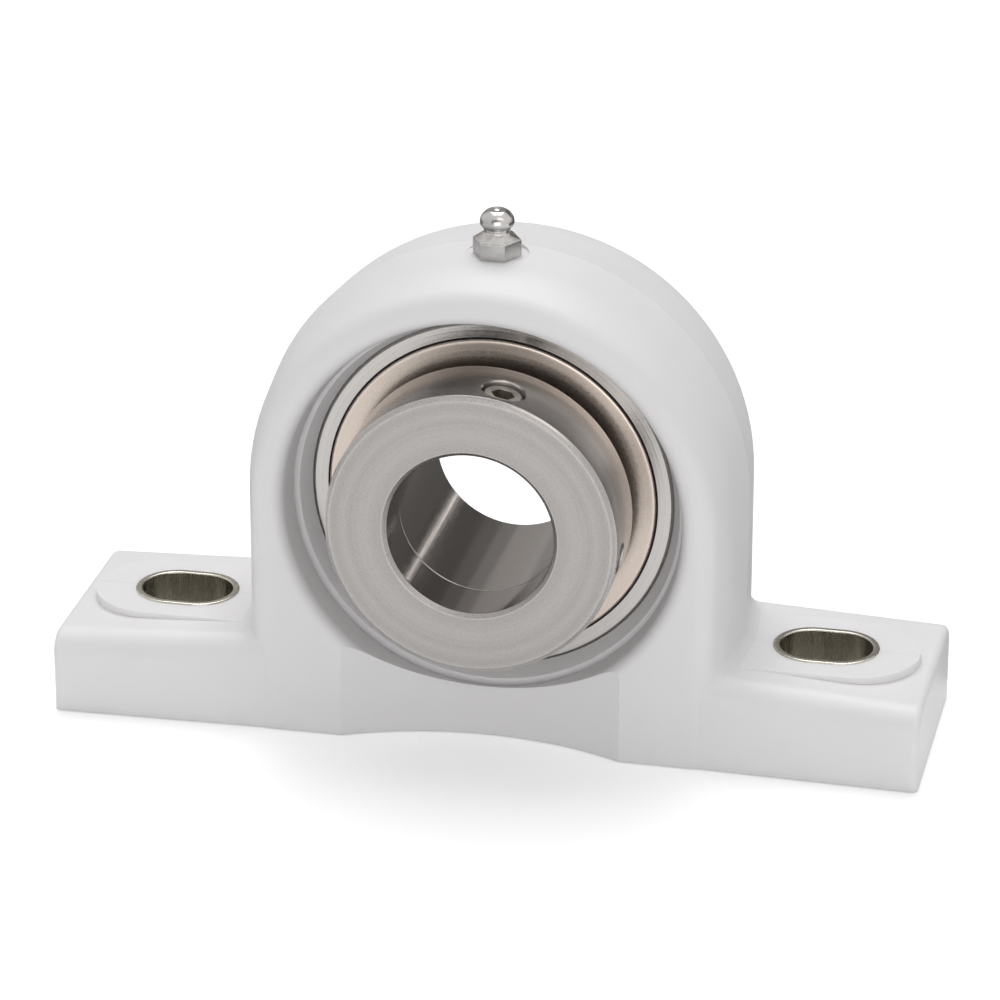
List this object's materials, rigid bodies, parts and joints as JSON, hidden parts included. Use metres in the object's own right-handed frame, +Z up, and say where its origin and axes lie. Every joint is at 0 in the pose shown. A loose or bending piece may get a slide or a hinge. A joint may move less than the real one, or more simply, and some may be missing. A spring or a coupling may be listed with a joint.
{
  "type": "pillow block bearing",
  "caption": "Pillow block bearing: white plastic housing with sleeved bolt slots and a grease nipple, stainless self-aligning insert with an eccentric locking collar.",
  "frame": {"origin": "on the base plane, halfway between the two bolt slots and in the plane of the balls", "axes": "+Z up from the base to the shaft, +X along the base from slot to slot, +Y toward the rear, away from the locking collar; the shaft runs along Y"},
  "size_m": [0.168, 0.0517, 0.1034],
  "materials": {
    "housing_plastic": "moulded satin white",
    "sleeve_steel": "drawn stainless steel",
    "nipple_steel": "bright stainless steel",
    "ring_steel": "ground stainless steel",
    "collar_steel": "turned stainless steel, fine circular lay",
    "flinger_steel": "pressed stainless steel, warm tint",
    "screw_steel": "stainless steel, darker",
    "ball_steel": "polished balls",
    "cage_steel": "pressed sheet",
    "seal_rubber": "black nitrile rubber"
  },
  "bodies": {
    "base": {"housing": "housing_plastic", "left_bolt_sleeve": "sleeve_steel", "right_bolt_sleeve": "sleeve_steel", "nipple_body": "nipple_steel", "nipple_spring": "cage_steel"},
    "nipple_valve": {"nipple_ball": "ball_steel"},
    "tilt_pin": {"locating_pin": "screw_steel"},
    "outer_race": {"outer_ring": "ring_steel", "front_seal": "seal_rubber", "front_seal_core": "cage_steel", "rear_seal": "seal_rubber", "rear_seal_core": "cage_steel"},
    "inner_race": {"inner_ring": "ring_steel", "front_flinger": "flinger_steel", "rear_flinger": "flinger_steel"},
    "ball_cage": {"cage_front_half": "cage_steel", "cage_rear_half": "cage_steel", "cage_rivets": "cage_steel"},
    "collar": {"locking_collar": "collar_steel"},
    "screw": {"set_screw": "screw_steel"},
    "rolling_ball_1": {"ball_1": "ball_steel"},
    "rolling_ball_2": {"ball_2": "ball_steel"},
    "rolling_ball_3": {"ball_3": "ball_steel"},
    "rolling_ball_4": {"ball_4": "ball_steel"},
    "rolling_ball_5": {"ball_5": "ball_steel"},
    "rolling_ball_6": {"ball_6": "ball_steel"},
    "rolling_ball_7": {"ball_7": "ball_steel"},
    "rolling_ball_8": {"ball_8": "ball_steel"},
    "rolling_ball_9": {"ball_9": "ball_steel"}
  },
  "joints": [
    {"name": "ring_tilt", "type": "hinge", "parent": "base", "child": "tilt_pin", "pos_m": [0, 0, 0.0476], "axis": [1, 0, 0], "range_deg": [-2, 2]},
    {"name": "ring_swivel", "type": "hinge", "parent": "tilt_pin", "child": "outer_race", "pos_m": [0, 0, 0.0476], "axis": [0, 0, 1], "range_deg": [-2, 2]},
    {"name": "inner_ring_spin", "type": "hinge", "parent": "outer_race", "child": "inner_race", "pos_m": [0, 0, 0.0476], "axis": [0, 1, 0], "continuous": true},
    {"name": "cage_orbit", "type": "hinge", "parent": "outer_race", "child": "ball_cage", "pos_m": [0, 0, 0.0476], "axis": [0, 1, 0], "continuous": true},
    {"name": "collar_turn", "type": "hinge", "parent": "inner_race", "child": "collar", "pos_m": [0, 0, 0.0476], "axis": [0, 1, 0], "range_deg": [-15, 15]},
    {"name": "set_screw_travel", "type": "slide", "parent": "collar", "child": "screw", "axis": [0.1908, 0, 0.9816], "range_m": [0, 0.003]},
    {"name": "nipple_ball_press", "type": "slide", "parent": "base", "child": "nipple_valve", "axis": [0, 0, -1], "range_m": [0, 0.0008], "stiffness_N_per_m": 50, "springref_m": -0.0005, "deforming": ["nipple_spring"]},
    {"name": "ball_1_spin", "type": "hinge", "parent": "ball_cage", "child": "rolling_ball_1", "pos_m": [0.02675, 0, 0.0476], "axis": [0, 1, 0], "continuous": true},
    {"name": "ball_2_spin", "type": "hinge", "parent": "ball_cage", "child": "rolling_ball_2", "pos_m": [0.02049, 0, 0.06479], "axis": [0, 1, 0], "continuous": true},
    {"name": "ball_3_spin", "type": "hinge", "parent": "ball_cage", "child": "rolling_ball_3", "pos_m": [0.00465, 0, 0.07394], "axis": [0, 1, 0], "continuous": true},
    {"name": "ball_4_spin", "type": "hinge", "parent": "ball_cage", "child": "rolling_ball_4", "pos_m": [-0.01337, 0, 0.07077], "axis": [0, 1, 0], "continuous": true},
    {"name": "ball_5_spin", "type": "hinge", "parent": "ball_cage", "child": "rolling_ball_5", "pos_m": [-0.02514, 0, 0.05675], "axis": [0, 1, 0], "continuous": true},
    {"name": "ball_6_spin", "type": "hinge", "parent": "ball_cage", "child": "rolling_ball_6", "pos_m": [-0.02514, 0, 0.03845], "axis": [0, 1, 0], "continuous": true},
    {"name": "ball_7_spin", "type": "hinge", "parent": "ball_cage", "child": "rolling_ball_7", "pos_m": [-0.01337, 0, 0.02443], "axis": [0, 1, 0], "continuous": true},
    {"name": "ball_8_spin", "type": "hinge", "parent": "ball_cage", "child": "rolling_ball_8", "pos_m": [0.00465, 0, 0.02126], "axis": [0, 1, 0], "continuous": true},
    {"name": "ball_9_spin", "type": "hinge", "parent": "ball_cage", "child": "rolling_ball_9", "pos_m": [0.02049, 0, 0.03041], "axis": [0, 1, 0], "continuous": true}
  ],
  "couplings": [
    {"joint": "cage_orbit", "follows": "inner_ring_spin", "ratio": 0.39615},
    {"joint": "ball_1_spin", "follows": "inner_ring_spin", "ratio": -2.3035},
    {"joint": "ball_2_spin", "follows": "inner_ring_spin", "ratio": -2.3035},
    {"joint": "ball_3_spin", "follows": "inner_ring_spin", "ratio": -2.3035},
    {"joint": "ball_4_spin", "follows": "inner_ring_spin", "ratio": -2.3035},
    {"joint": "ball_5_spin", "follows": "inner_ring_spin", "ratio": -2.3035},
    {"joint": "ball_6_spin", "follows": "inner_ring_spin", "ratio": -2.3035},
    {"joint": "ball_7_spin", "follows": "inner_ring_spin", "ratio": -2.3035},
    {"joint": "ball_8_spin", "follows": "inner_ring_spin", "ratio": -2.3035},
    {"joint": "ball_9_spin", "follows": "inner_ring_spin", "ratio": -2.3035}
  ]
}
